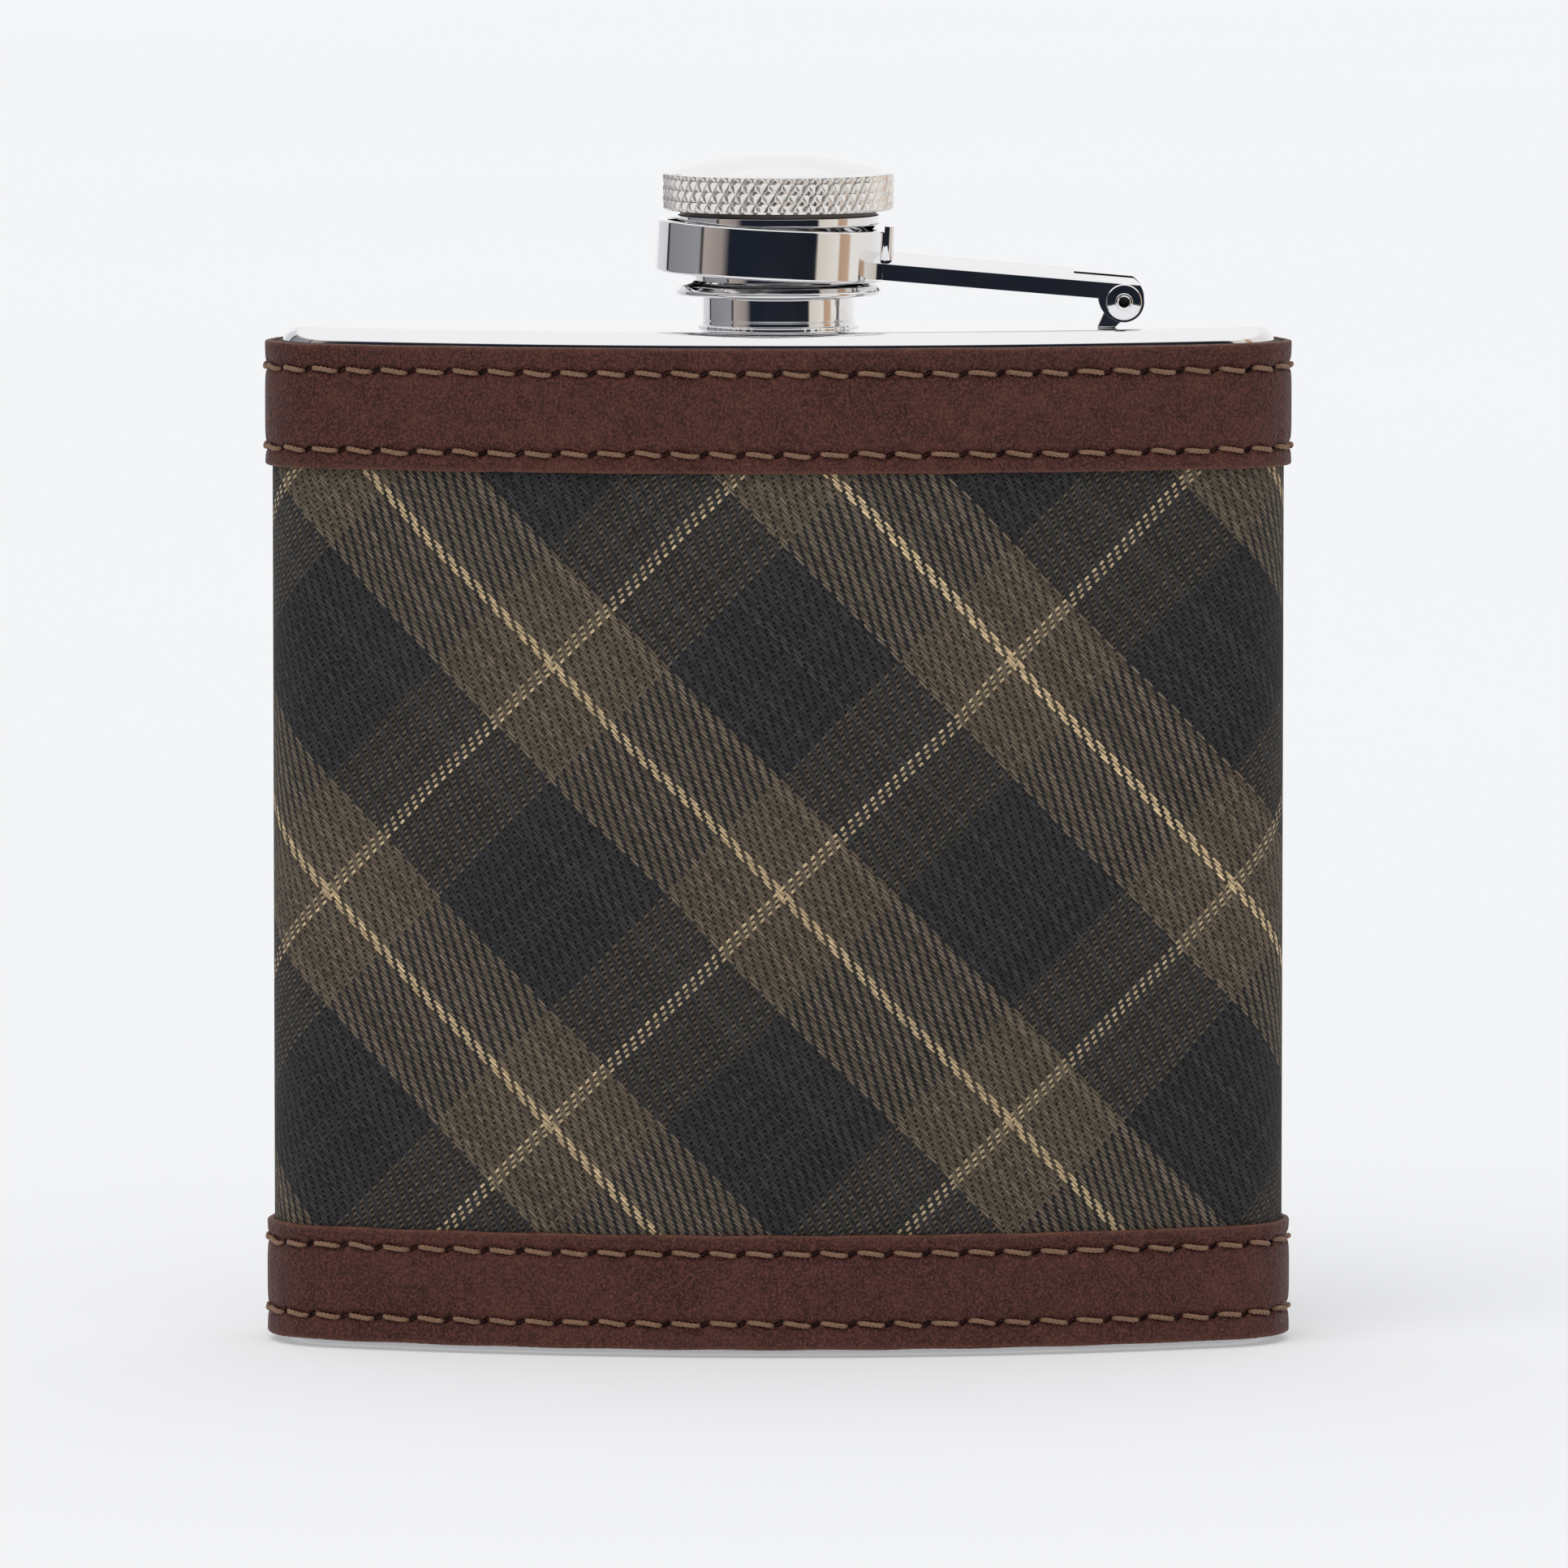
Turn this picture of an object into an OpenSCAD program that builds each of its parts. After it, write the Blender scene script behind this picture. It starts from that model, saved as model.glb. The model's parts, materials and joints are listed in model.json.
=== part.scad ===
// Hip flask: a curved steel body with a captive screw cap, dressed in a cloth sleeve
// between two stitched leather bands. Millimetres, +Z up, +X towards the cap's hinge.
// The front, which bows outwards, faces -Y. The origin is the centre of the base.

/* [Body] */
// Width over the leather
flask_w = 95; // [85:1:110]
// Height of the steel body, base to shoulder
body_h = 94.3; // [85:0.1:120]
// Thickness over the leather on the centre line
flask_t = 24.5; // [22:0.5:28]
// Radius of the bowed front
front_r = 119; // [100:1:160]
// Radius of the front corners
front_corner_r = 8; // [6:0.5:9]
// Radius of the back corners
back_corner_r = 10; // [9:0.5:11]
// Steel wall thickness
wall_t = 0.7; // [0.4:0.1:1]
// Thickness of the shoulder and base plates
plate_t = 1.4; // [1:0.1:2]
// Drop of the plates' rounded edges
edge_h = 1.1; // [0.5:0.1:1.2]
// Width of the plates' rounded edges
edge_w = 1.5; // [0.5:0.1:2]

/* [Sleeve] */
// Leather thickness
leather_t = 0.7; // [0.5:0.1:1]
// Cloth thickness
cloth_t = 0.5; // [0.3:0.1:0.8]
// Lining thickness
lining_t = 0.5; // [0.3:0.1:0.8]
// Steel left bare below the sleeve
sleeve_z0 = 0.7; // [0.5:0.1:2]
// Steel left bare above the sleeve
bare_top = 1.3; // [1:0.1:2]
// Height of the bottom leather band
bottom_band_h = 10.7; // [8:0.1:16]
// Height of the top leather band
top_band_h = 11.6; // [8:0.1:16]
// Width of the butt joint at the back of each band
butt_gap = 0.3; // [0.2:0.05:0.6]

/* [Stitching] */
// Distance from one stitch to the next
stitch_pitch = 3.35; // [2.8:0.05:4]
// Length of thread that shows
stitch_len = 2.5; // [2:0.05:2.7]
// Thread radius
thread_r = 0.28; // [0.25:0.01:0.4]
// Slant of each stitch
stitch_slant = 8; // [0:1:15]
// Rows' distance from the sleeve's outer edges
hem_inset = 2.4; // [1.5:0.1:3]
// Rows' distance from the bands' inner edges
trim_inset = 1.8; // [1.5:0.1:3]

/* [Neck] */
// Outer radius of the neck's foot
neck_r = 7.1; // [6.9:0.05:7.2]
// Radius of the mouth
mouth_r = 5.2; // [4.5:0.1:5.4]
// Height of the neck above the shoulder
neck_h = 8; // [7:0.1:8]
// Height of the plain foot
neck_foot_h = 2.95; // [2.5:0.05:2.95]
// Thread crest radius
thread_crest_r = 6.4; // [6.2:0.05:6.4]
// Thread pitch
thread_pitch = 1.25; // [1:0.05:1.5]
// Width of the weld bead round the foot
bead_r = 0.45; // [0.2:0.05:0.6]

/* [Cap] */
// Radius of the knurled grip
grip_r = 10.65; // [10:0.05:11]
// Underside of the grip above the shoulder
grip_z = 10.8; // [10.7:0.1:11.5]
// Height of the knurled grip
grip_h = 3.5; // [3:0.1:5]
// Rise of the domed top over the grip
dome_h = 1.7; // [1:0.1:2.5]
// Radius of the step under the grip
step_r = 9.34; // [9:0.02:9.4]
// Radius of the waist that the ring hangs round
waist_r = 7.8; // [7.7:0.05:7.9]
// Radius of the flared lip
lip_r = 9.64; // [9.4:0.02:9.7]
// Underside of the lip above the shoulder
lip_z = 3.05; // [3.05:0.05:3.2]
// Radius of the cap's cavity
cavity_r = 7; // [7:0.02:7.1]
// Thickness of the seal
seal_t = 1; // [0.8:0.1:1.2]

/* [Ring and arm] */
// Outer radius of the ring
ring_r = 10.68; // [10.5:0.02:10.8]
// Height of the ring
ring_h = 4.75; // [4:0.05:5]
// Wall thickness of the ring
ring_t = 0.93; // [0.8:0.01:1]
// Inner radius of the ring's turned-in flange
ring_flange_r = 9.2; // [9.1:0.05:9.3]
// Sideways hang of the ring, away from the hinge
ring_shift = 0.7; // [0.5:0.05:0.75]
// Height of the ring's centre above the shoulder
ring_z = 7.1; // [7:0.05:7.3]
// Tilt of the ring towards the hinge
ring_tilt = 3; // [2:0.1:3.5]
// Distance from the cap's axis to the hinge pin
pin_x = 31.8; // [30:0.1:34]
// Height of the hinge pin above the shoulder
pin_z = 2.4; // [2.4:0.05:3]
// Slope of the arm down to the hinge
arm_slope = 4.8; // [4:0.1:5.5]
// Width of the arm
arm_w = 5.2; // [5:0.1:7]
// Sheet thickness of the arm
arm_t = 0.7; // [0.6:0.05:0.9]
// Height of the arm's side flanges
flange_h = 1.5; // [1.2:0.1:1.8]
// Rise of the arm's crowned top over its flanges
crown_h = 1.05; // [0.8:0.05:1.2]
// Radius of the ears at the hinge
ear_r = 1.87; // [1.7:0.01:1.95]
// Hinge pin radius
pin_r = 0.8; // [0.7:0.02:0.9]
// Radius of the hinge pin's flared heads
pin_head_r = 1.7; // [1.2:0.05:1.8]
// Running clearance of the ears on the pin
pin_clear = 0.06; // [0.03:0.01:0.1]

/* [Hidden] */
$fn = 96;
far = 400;
over = 1;

// Plan outline: the widest plane lies at y = wide_y, with a pair of corner arcs to the
// front of it and a pair to the back. The front arc bows out and the back arc bows in.
half_w = flask_w / 2;
front_cx = half_w - front_corner_r;
back_cx = half_w - back_corner_r;
front_cy = sqrt(pow(front_r - front_corner_r, 2) - pow(front_cx, 2));
front_reach = front_r - front_cy;
back_reach = flask_t - front_reach;
hollow = back_corner_r - back_reach;
back_r = (back_cx * back_cx / hollow - back_corner_r - back_reach) / 2;
back_cy = back_r + back_reach;
wide_y = (front_reach - back_corner_r) / 2;
front_y = wide_y - front_reach;
back_y = wide_y + back_reach;

// Radial direction from each corner's centre to the point where its arc ends
front_dir = atan2(-front_cy, front_cx);
back_dir = atan2(back_cy, -back_cx);

// Arcs swept on the right half, and the straight steps that each is drawn with
front_sweep = 90 + front_dir;
back_sweep = back_dir - 90;
front_steps = 24;
corner_steps = 14;
back_steps = 6;
edge_steps = 4;

neck_y = (front_y + back_y) / 2;
sleeve_z1 = body_h - bare_top;
steel_inset = leather_t + cloth_t + lining_t;
top_band_z = sleeve_z1 - top_band_h;
bottom_band_z = sleeve_z0;
cloth_margin = 0.2;
cap_place = [0, neck_y, body_h];
pin_place = [pin_x, neck_y, body_h + pin_z];
seal_z = neck_h + 0.05;
ceiling_z = seal_z + seal_t;
spigot_r = 8.6;
spigot_h = 1.6;
seal_hole_r = 3;
socket_r = 6.4;
socket_clear = 0.02;
thread_depth = 0.4;
thread_count = 3;
thread_lead_in = 0.9;
thread_root_w = 1;
thread_crest_w = 0.3;
lip_chamfer = [0.3, 0.12];
lip_rim_h = 0.35;
lip_flare = [9, 0.9];
lip_neck = [8, 1.12];
lip_h = 1.25;
waist_top = 8.3;
step_h = 1.25;
dome_inset = 0.15;
dome_facets = 360;
ring_flange_t = 0.6;
arm_bite = 1.2;
arm_x0 = ring_r - ring_shift - arm_bite;
tab_t = 0.75;
arm_drop = 0.9;
arm_overrun = 6;
arm_end_r = 2.1;
arm_end = [-0.25, 0.4];
slot_w = 3.6;
slot_len = 4.6;
tab_base = 6.8;
tab_top = 9.9;
tab_roll = 0.7;
tab_steps = 8;
post_t = 3;
post_foot_x = -1.6;
post_w = 1.7;
post_eye_r = 1.3;
post_lean = 35;
pin_bore_r = 0.5;
pin_bore_depth = 1.4;
pin_head_t = 0.3;
pin_head_taper = 0.35;
thread_facets = 24;

steel = [0.78, 0.78, 0.8];
bright = [0.88, 0.88, 0.9];
leather = [0.3, 0.18, 0.14];
thread = [0.5, 0.4, 0.3];
checked_cloth = [0.2, 0.2, 0.16];
rubber = [0.85, 0.85, 0.82];

// ---- Plan outline -------------------------------------------------------------------

// Points of the plan's right half, drawn in by inset, from the front's centre to the back's
function right_half(inset) = [
  for (i = [0 : front_steps]) on_arc(0, front_cy, front_r - inset, -90 + front_sweep * i / front_steps),
  for (i = [1 : corner_steps])
    on_arc(front_cx, 0, front_corner_r - inset, front_dir * (1 - i / corner_steps)),
  for (i = [1 : corner_steps]) on_arc(back_cx, 0, back_corner_r - inset, back_dir * i / corner_steps),
  for (i = [1 : back_steps]) hollow_arc(back_r + inset, back_dir - back_sweep * i / back_steps)
];

function on_arc(cx, cy, r, dir) = [cx + r * cos(dir), wide_y + cy + r * sin(dir)];
function hollow_arc(r, dir) = [-r * cos(dir), wide_y + back_cy - r * sin(dir)];

// The whole plan: the right half and then its mirror image, back to the start
function plan_points(inset) =
  let (half = right_half(inset), last = len(half) - 1)
  [each half, for (i = [last - 1 : -1 : 1]) [-half[i].x, half[i].y]];

// The plan from z0 to z1
module flask_form(inset, z0, z1)
  translate([0, 0, z0]) linear_extrude(z1 - z0) polygon(plan_points(inset));

// A closed belt of the body's plan between two insets
module belt(outer, inner, z0, z1) difference() {
  flask_form(outer, z0, z1);
  flask_form(inner, z0 - over, z1 + over);
}

// A plate standing on z = 0 whose upper rim is rounded
module rounded_plate(inset, h) {
  rings = [
    ring(inset, 0),
    for (a = [0 : 90 / edge_steps : 90]) ring(inset + edge_w * (1 - cos(a)), h - edge_h * (1 - sin(a)))
  ];
  n = len(rings[0]);
  top = len(rings) - 1;
  polyhedron([for (r = rings) each r], [
    [for (i = [0 : n - 1]) i],
    [for (i = [n - 1 : -1 : 0]) top * n + i],
    for (k = [0 : top - 1], i = [0 : n - 1])
      [k * n + i, (k + 1) * n + i, (k + 1) * n + (i + 1) % n, k * n + (i + 1) % n]
  ]);
}

function ring(inset, z) = [for (p = plan_points(inset)) [p.x, p.y, z]];

// ---- Steel body ---------------------------------------------------------------------

module body_shell() color(steel) belt(steel_inset, steel_inset + wall_t, plate_t, body_h - plate_t);

module top_plate() color(bright) difference() {
  translate([0, 0, body_h - plate_t]) rounded_plate(steel_inset, plate_t);
  translate([0, neck_y, 0]) cylinder(r = socket_r + socket_clear, h = far);
}

module bottom_plate() color(steel) translate([0, 0, plate_t]) mirror([0, 0, 1])
  rounded_plate(steel_inset, plate_t);

module neck_tube() color(bright) translate(cap_place) difference() {
  union() {
    translate([0, 0, -plate_t]) cylinder(r = socket_r, h = plate_t);
    cylinder(r = neck_r, h = neck_foot_h);
    cylinder(r = thread_crest_r - thread_depth, h = neck_h);
    for (i = [0 : thread_count - 1])
      translate([0, 0, neck_h - thread_lead_in - (i + 0.5) * thread_pitch]) thread_ridge();
  }
  translate([0, 0, -2 * plate_t]) cylinder(r = mouth_r, h = far);
}

module thread_ridge() {
  buried_r = thread_crest_r - 2 * thread_depth;
  root_r = thread_crest_r - thread_depth;
  rotate_extrude() polygon([
    [buried_r, -thread_root_w / 2], [root_r, -thread_root_w / 2],
    [thread_crest_r, -thread_crest_w / 2], [thread_crest_r, thread_crest_w / 2],
    [root_r, thread_root_w / 2], [buried_r, thread_root_w / 2]
  ]);
}

module neck_weld() color(bright) translate(cap_place) rotate_extrude() intersection() {
  translate([neck_r, 0]) circle(bead_r);
  translate([neck_r, 0]) square(bead_r);
}

// ---- Hinge --------------------------------------------------------------------------

module hinge_post() color(steel) translate(pin_place) difference() {
  union() {
    across_y(post_t) polygon([
      [post_foot_x - post_w / 2, -pin_z], [post_foot_x + post_w / 2, -pin_z],
      post_eye_r * [cos(post_lean), -sin(post_lean)], post_eye_r * [-cos(post_lean), sin(post_lean)]
    ]);
    rotate([90, 0, 0]) cylinder(r = post_eye_r, h = post_t, center = true);
  }
  rotate([90, 0, 0]) cylinder(r = pin_r, h = 2 * post_t, center = true);
}

// A rivet with drilled ends and its heads outside the arm's ears
module hinge_pin() color(bright) translate(pin_place) rotate([90, 0, 0]) difference() {
  inner = arm_w / 2 + pin_clear;
  rotate_extrude() polygon([
    [0, -inner - pin_head_t], [pin_head_r - pin_head_taper, -inner - pin_head_t],
    [pin_head_r, -inner], [pin_r, -inner], [pin_r, inner], [pin_head_r, inner],
    [pin_head_r - pin_head_taper, inner + pin_head_t], [0, inner + pin_head_t]
  ]);
  for (end = [0, 1]) mirror([0, 0, end])
    translate([0, 0, inner + pin_head_t - pin_bore_depth]) cylinder(r = pin_bore_r, h = arm_w);
}

// Extrude a side view, drawn in X and Z, to a thickness across Y
module across_y(t) rotate([90, 0, 0]) translate([0, 0, -t / 2]) linear_extrude(t) children();

// ---- Arm and ring -------------------------------------------------------------------

module ring_frame() translate([-ring_shift, 0, ring_z]) rotate([0, ring_tilt, 0]) children();

module arm_section(w, top) {
  arch_r = (pow(w / 2, 2) + crown_h * crown_h) / (2 * crown_h);
  intersection() {
    translate([-w / 2, -far]) square([w, far + crown_h + top]);
    union() {
      translate([0, top + crown_h - arch_r]) circle(arch_r);
      translate([-w / 2, -far]) square([w, far + top]);
    }
  }
}

// Sweep a cross-section, drawn in Y and Z, back along the sloping arm from the pin
module along_arm() rotate([0, arm_slope, 0]) rotate([90, 0, -90])
  translate([0, 0, -arm_overrun]) linear_extrude(pin_x) children();

module arm_side_view() {
  rise = tan(arm_slope);
  run = pin_x - arm_x0;
  polygon([
    [0, arm_drop - flange_h / 2], [0, arm_drop + flange_h / 2 + crown_h],
    [-run, arm_drop + flange_h / 2 + crown_h + run * rise], [-run, arm_drop - flange_h / 2 + run * rise]
  ]);
  circle(ear_r);
  translate(arm_end) circle(arm_end_r);
}

// The tab that stands against the ring, bent up from the arm and rolled at its sides
module ring_tab() {
  outer_r = ring_r + tab_t;
  roll_y = arm_w / 2 - tab_roll;
  roll_dir = asin(roll_y / (outer_r - tab_roll));
  roll_x = (outer_r - tab_roll) * cos(roll_dir);
  ring_frame() translate([0, 0, tab_base - ring_z]) linear_extrude(tab_top - tab_base) polygon([
    [ring_r - arm_bite, -arm_w / 2],
    for (i = [0 : tab_steps]) let (dir = -90 + (90 - roll_dir) * i / tab_steps)
      [roll_x + tab_roll * cos(dir), -roll_y + tab_roll * sin(dir)],
    for (i = [1 : tab_steps - 1]) let (dir = roll_dir * (2 * i / tab_steps - 1))
      [outer_r * cos(dir), outer_r * sin(dir)],
    for (i = [0 : tab_steps]) let (dir = roll_dir + (90 - roll_dir) * i / tab_steps)
      [roll_x + tab_roll * cos(dir), roll_y + tab_roll * sin(dir)],
    [ring_r - arm_bite, arm_w / 2]
  ]);
}

module cap_arm() color(bright) translate(cap_place) difference() {
  union() {
    translate([pin_x, 0, pin_z]) difference() {
      intersection() {
        across_y(arm_w) arm_side_view();
        along_arm() arm_section(arm_w, arm_drop + flange_h / 2);
      }
      along_arm() arm_section(arm_w - 2 * arm_t, arm_drop + flange_h / 2 - arm_t);
      translate([-slot_len, -slot_w / 2, 0]) cube([2 * slot_len, slot_w, far]);
      rotate([90, 0, 0]) cylinder(r = pin_r + pin_clear, h = 2 * arm_w, center = true);
    }
    ring_tab();
  }
  ring_frame() cylinder(r = ring_r, h = far, center = true);
}

module cap_ring() color(bright) translate(cap_place) ring_frame() translate([0, 0, -ring_h / 2])
  difference() {
    cylinder(r = ring_r, h = ring_h);
    translate([0, 0, -over]) cylinder(r = ring_flange_r, h = ring_h);
    translate([0, 0, ring_flange_t]) cylinder(r = ring_r - ring_t, h = ring_h);
  }

// ---- Cap ----------------------------------------------------------------------------

module cap_head() color(bright) translate(cap_place) difference() {
  union() {
    translate([0, 0, grip_z]) cylinder(r = grip_r, h = grip_h);
    dome();
  }
  translate([0, 0, grip_z - over]) cylinder(r = spigot_r, h = spigot_h + over);
}

module dome() {
  base_r = grip_r - dome_inset;
  ball_r = (base_r * base_r + dome_h * dome_h) / (2 * dome_h);
  top = grip_z + grip_h + dome_h;
  rotate_extrude() intersection() {
    translate([0, top - ball_r]) circle(ball_r, $fn = dome_facets);
    translate([0, top - dome_h]) square([base_r, dome_h]);
  }
}

module cap_sleeve() color(bright) translate(cap_place) difference() {
  rotate_extrude() polygon([
    [0, lip_z], [lip_r - lip_chamfer.x, lip_z], [lip_r, lip_z + lip_chamfer.y],
    [lip_r, lip_z + lip_rim_h], [lip_flare.x, lip_z + lip_flare.y],
    [lip_neck.x, lip_z + lip_neck.y], [waist_r, lip_z + lip_h], [waist_r, waist_top],
    [step_r, grip_z - step_h], [step_r, grip_z], [spigot_r, grip_z],
    [spigot_r, grip_z + spigot_h], [0, grip_z + spigot_h]
  ]);
  cylinder(r = cavity_r, h = ceiling_z);
}

module cap_seal() color(rubber) translate(cap_place) difference() {
  translate([0, 0, seal_z]) cylinder(r = cavity_r, h = seal_t);
  translate([0, 0, seal_z - over]) cylinder(r = seal_hole_r, h = seal_t + 2 * over);
}

// ---- Sleeve -------------------------------------------------------------------------

module wrap_lining() color(leather)
  belt(leather_t + cloth_t, steel_inset, sleeve_z0 + cloth_margin, sleeve_z1 - cloth_margin);

module fabric_wrap() color(checked_cloth)
  belt(leather_t, leather_t + cloth_t, sleeve_z0 + cloth_margin, sleeve_z1 - cloth_margin);

module leather_band(z0, h) color(leather) difference() {
  belt(0, leather_t, z0, z0 + h);
  translate([-butt_gap / 2, 0, z0 - over]) cube([butt_gap, far, h + 2 * over]);
}

module leather_band_top() leather_band(top_band_z, top_band_h);
module leather_band_bottom() leather_band(bottom_band_z, bottom_band_h);

// ---- Stitching ----------------------------------------------------------------------

// Lengths of the outline's arcs on its right half, in order from the centre of the front
arc_lengths = [
  front_r * front_sweep * PI / 180, -front_corner_r * front_dir * PI / 180,
  back_corner_r * back_dir * PI / 180, back_r * back_sweep * PI / 180
];
half_perimeter = arc_lengths[0] + arc_lengths[1] + arc_lengths[2] + arc_lengths[3];
stitches_per_half = floor(half_perimeter / stitch_pitch);

// Outward direction at a distance s along the right half
function rim_dir(s) =
  let (a = arc_lengths[0], b = a + arc_lengths[1], c = b + arc_lengths[2])
  s < a ? -90 + front_sweep * s / a
  : s < b ? front_dir * (b - s) / (b - a)
  : s < c ? back_dir * (s - b) / (c - b)
  : back_dir - back_sweep * (s - c) / arc_lengths[3];

// Place at a distance s along the right half
function rim(s) =
  let (a = arc_lengths[0], b = a + arc_lengths[1], c = b + arc_lengths[2], dir = rim_dir(s))
  s < a ? on_arc(0, front_cy, front_r, dir)
  : s < b ? on_arc(front_cx, 0, front_corner_r, dir)
  : s < c ? on_arc(back_cx, 0, back_corner_r, dir)
  : hollow_arc(back_r, dir);

module stitch_row(z) color(thread)
  for (side = [0, 1], i = [0 : stitches_per_half - 1]) mirror([side, 0, 0]) {
    along = (i + 0.5) * half_perimeter / stitches_per_half;
    slant = side == 0 ? stitch_slant : -stitch_slant;
    translate([rim(along).x, rim(along).y, z]) rotate([0, 90 + slant, rim_dir(along) + 90])
      cylinder(r = thread_r, h = stitch_len, center = true, $fn = thread_facets);
  }

module stitches_top_upper() stitch_row(sleeve_z1 - hem_inset);
module stitches_top_lower() stitch_row(top_band_z + trim_inset);
module stitches_bottom_upper() stitch_row(bottom_band_z + bottom_band_h - trim_inset);
module stitches_bottom_lower() stitch_row(bottom_band_z + hem_inset);

body_shell();
top_plate();
bottom_plate();
neck_tube();
neck_weld();
hinge_post();
hinge_pin();
cap_arm();
cap_ring();
cap_head();
cap_sleeve();
cap_seal();
wrap_lining();
fabric_wrap();
leather_band_top();
leather_band_bottom();
stitches_top_upper();
stitches_top_lower();
stitches_bottom_upper();
stitches_bottom_lower();
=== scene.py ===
import json
import math

import bmesh
import bpy
import numpy as np
from mathutils import Matrix, Vector


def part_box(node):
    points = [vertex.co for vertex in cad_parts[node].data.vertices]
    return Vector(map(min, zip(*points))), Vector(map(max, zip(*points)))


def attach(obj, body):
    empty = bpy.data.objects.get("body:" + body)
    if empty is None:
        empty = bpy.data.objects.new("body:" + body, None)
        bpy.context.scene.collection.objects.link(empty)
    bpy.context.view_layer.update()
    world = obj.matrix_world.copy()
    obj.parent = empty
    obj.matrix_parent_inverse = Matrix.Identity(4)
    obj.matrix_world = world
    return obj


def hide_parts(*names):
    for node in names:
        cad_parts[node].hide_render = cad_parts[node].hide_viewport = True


# A hip flask: a bowed steel body with a captive screw cap, in a checked sleeve held between two
# stitched leather bands. Sizes are in millimetres in the part's own frame until a mesh is made.
# +Z is up, the front bows out towards -Y, and the cap's hinge lies towards +X.

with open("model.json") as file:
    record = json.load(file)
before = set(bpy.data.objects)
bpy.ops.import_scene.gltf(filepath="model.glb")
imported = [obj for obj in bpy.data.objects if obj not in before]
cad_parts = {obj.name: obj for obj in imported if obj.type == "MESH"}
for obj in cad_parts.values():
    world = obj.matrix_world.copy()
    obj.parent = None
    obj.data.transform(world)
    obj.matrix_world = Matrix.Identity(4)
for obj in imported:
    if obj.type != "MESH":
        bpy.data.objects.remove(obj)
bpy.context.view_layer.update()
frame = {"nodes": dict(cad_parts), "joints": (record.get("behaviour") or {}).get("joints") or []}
MM = 0.001
rng = np.random.default_rng(7)


def box_mm(node):
    """Lowest and highest corner of a CAD node, in millimetres."""
    low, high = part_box(node)
    return np.array(low) / MM, np.array(high) / MM


def joint_mm(name):
    """Place of a joint's axis, in millimetres."""
    return next(np.array(j["pos_m"]) / MM for j in frame["joints"] if j["name"] == name)


# ---- Plan of the body ---------------------------------------------------------------------

LEATHER_T, CLOTH_T, LINING_T = 0.7, 0.5, 0.5
STEEL_INSET = LEATHER_T + CLOTH_T + LINING_T
FRONT_R, FRONT_CORNER_R, BACK_CORNER_R, FLASK_T = 119.0, 8.0, 10.0, 24.5

HALF_W = 47.5
front_cx = HALF_W - FRONT_CORNER_R
back_cx = HALF_W - BACK_CORNER_R
front_cy = math.sqrt((FRONT_R - FRONT_CORNER_R) ** 2 - front_cx**2)
back_reach = FLASK_T - (FRONT_R - front_cy)
hollow = BACK_CORNER_R - back_reach
back_r = (back_cx**2 / hollow - BACK_CORNER_R - back_reach) / 2
wide_y = (FRONT_R - front_cy - BACK_CORNER_R) / 2
front_dir = math.atan2(-front_cy, front_cx)
back_dir = math.atan2(back_r + back_reach, -back_cx)

# The right half's arcs in order from the centre of the front: centre, radius, whether the arc
# bows outwards, and the outward direction at its start and at its end
ARCS = (
    ((0, wide_y + front_cy), FRONT_R, 1, -math.pi / 2, front_dir),
    ((front_cx, wide_y), FRONT_CORNER_R, 1, front_dir, 0),
    ((back_cx, wide_y), BACK_CORNER_R, 1, 0, back_dir),
    ((0, wide_y + back_r + back_reach), back_r, -1, back_dir, math.pi / 2),
)


def arc_lengths(inset):
    """Lengths of the arcs on a line drawn in from the outline by inset."""
    return np.array([(r - bow * inset) * abs(end - start) for _, r, bow, start, end in ARCS])


HALF_RIM = arc_lengths(0).sum()


def arc_at(s):
    """Which arc a place on the outline lies on, and the share of it that has passed. The place s
    is the distance round the outline from the centre of the front, positive to the right."""
    outer = arc_lengths(0)
    ends = np.cumsum(outer)
    reach = np.clip(np.abs(s), 0, ends[-1])
    k = np.minimum(np.searchsorted(ends, reach), len(ARCS) - 1)
    return k, (reach - (ends - outer)[k]) / outer[k]


def run_at(s, inset):
    """Distance round the line drawn in by inset, for places s on the outline."""
    k, part = arc_at(s)
    inner = arc_lengths(inset)
    return np.where(s < 0, -1.0, 1.0) * ((np.cumsum(inner) - inner)[k] + part * inner[k])


def rim(s, inset=0.0):
    """Points and outward normals on the line drawn in by inset, for places s on the outline."""
    s = np.asarray(s, float)
    k, part = arc_at(s)
    start = np.array([a[3] for a in ARCS])[k]
    turn = start + (np.array([a[4] for a in ARCS])[k] - start) * part
    bow = np.array([a[2] for a in ARCS])[k]
    radius = np.array([a[1] for a in ARCS])[k]
    centre = np.array([a[0] for a in ARCS])[k]
    normal = np.stack([np.cos(turn), np.sin(turn)], -1)
    point = centre + (bow * radius)[..., None] * normal - np.asarray(inset)[..., None] * normal
    side = np.where(s < 0, -1.0, 1.0)
    point[..., 0] *= side
    normal[..., 0] *= side
    return point, normal


# ---- Meshes -------------------------------------------------------------------------------

def grid_quads(rows, cols, wrap_rows=False, wrap_cols=False):
    """Quads over points numbered row by row."""
    i, j = np.meshgrid(np.arange(rows - (not wrap_rows)), np.arange(cols - (not wrap_cols)), indexing="ij")
    i2, j2 = (i + 1) % rows, (j + 1) % cols
    return np.stack([i * cols + j, i * cols + j2, i2 * cols + j2, i2 * cols + j], -1).reshape(-1, 4)


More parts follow.
